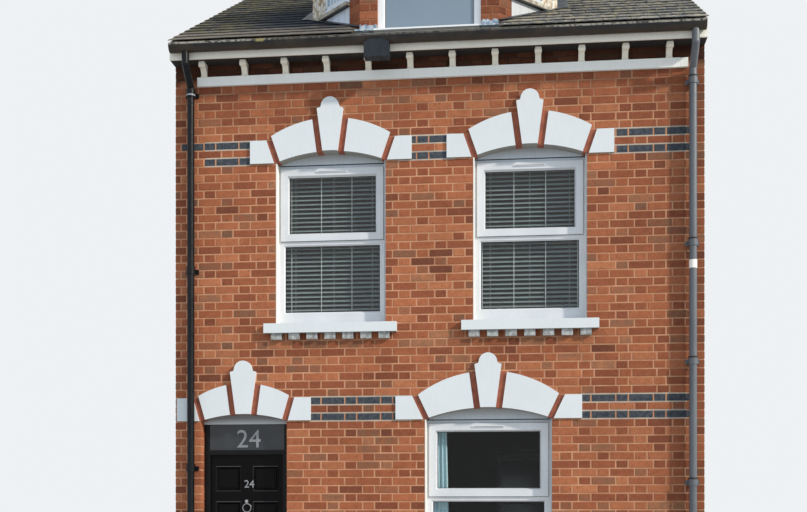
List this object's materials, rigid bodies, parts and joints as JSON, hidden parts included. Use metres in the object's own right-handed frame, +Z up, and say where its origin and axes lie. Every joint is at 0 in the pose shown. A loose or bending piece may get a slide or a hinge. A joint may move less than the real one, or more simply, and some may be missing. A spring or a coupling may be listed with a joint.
{
  "type": "terraced house",
  "caption": "Two-storey mid-terrace brick house with painted arched heads, a panelled front door that opens, bracketed eaves and a canted bay dormer in its slate roof.",
  "frame": {"origin": "on the ground at the middle of the plan", "axes": "+Z up, +X to the right along the street front, +Y from the street to the rear"},
  "size_m": [4.92, 8.18, 9.6722],
  "materials": {
    "front_brick": "fired clay facing brick",
    "rear_brick": "fired clay common brick",
    "strip_brick": "rubbed red brick",
    "painted_stone": "stone under masonry paint",
    "rear_stone": "bare sill stone",
    "step_stone": "worn stone",
    "screed": "concrete floor",
    "floor_boards": "boards on joists",
    "white_frame": "white window profile",
    "infill_panel": "grey panel",
    "white_lining": "painted jamb board",
    "pane": "clear glass",
    "blind_slat": "painted slats",
    "curtain_cloth": "plain woven cloth",
    "rail_metal": "satin",
    "black_paint": "black gloss paint on wood",
    "door_metal": "polished",
    "hinge_metal": "steel",
    "cream_paint": "weathered cream paint on wood",
    "gutter_iron": "black paint on cast iron",
    "grey_iron": "dark grey paint on cast iron",
    "box_paint": "dark grey",
    "deck_boards": "boards on rafters",
    "roof_slate": "weathered slate",
    "ridge_clay": "fired clay",
    "pot_clay": "fired clay",
    "lead": "sheet lead",
    "weathered_white": "flaking white paint on boards"
  },
  "bodies": {
    "house": {"ground_floor": "screed", "first_floor": "floor_boards", "attic_floor": "floor_boards", "party_wall_left": "rear_brick", "party_wall_right": "rear_brick", "front_wall_left": "front_brick", "front_wall_ground": "front_brick", "front_wall_middle": "front_brick", "front_wall_top": "front_brick", "rear_wall_ground": "rear_brick", "rear_wall_middle": "rear_brick", "rear_wall_top": "rear_brick", "door_frame": "black_paint", "door_hinge_pins": "hinge_metal", "fanlight": "pane", "door_step": "step_stone", "stones_first_left": "painted_stone", "stones_first_right": "painted_stone", "stones_ground_window": "painted_stone", "stones_door": "painted_stone", "head_strips": "strip_brick", "sill_first_left": "painted_stone", "sill_first_right": "painted_stone", "sill_ground": "painted_stone", "sill_dentils": "painted_stone", "window_first_left": "white_frame", "window_first_right": "white_frame", "window_ground": "white_frame", "window_sashes": "white_frame", "window_glass": "pane", "head_infills": "infill_panel", "jamb_linings": "white_lining", "blinds": "blind_slat", "curtain_rail": "rail_metal", "curtain": "curtain_cloth", "rear_windows": "white_frame", "rear_sashes": "white_frame", "rear_glass": "pane", "rear_sills": "rear_stone", "eaves_boards": "cream_paint", "eaves_brackets": "cream_paint", "eaves_fascias": "cream_paint", "gutters": "gutter_iron", "gutter_box": "box_paint", "downpipe_left": "gutter_iron", "downpipe_right": "grey_iron", "roof_deck": "deck_boards", "roof_slates": "roof_slate", "ridge_tiles": "ridge_clay", "chimney_stack": "front_brick", "chimney_pots": "pot_clay", "bay_piers": "front_brick", "bay_apron": "lead", "bay_window": "white_frame", "bay_sides": "weathered_white", "bay_glass": "pane", "bay_roof": "roof_slate"},
    "door": {"door_leaf": "black_paint", "door_furniture": "door_metal", "door_hinge_knuckles": "hinge_metal"}
  },
  "joints": [
    {"name": "door_hinge", "type": "hinge", "parent": "house", "child": "door", "pos_m": [-2.162, -3.618, 1.135], "axis": [0, 0, 1], "range_deg": [0, 90]}
  ]
}
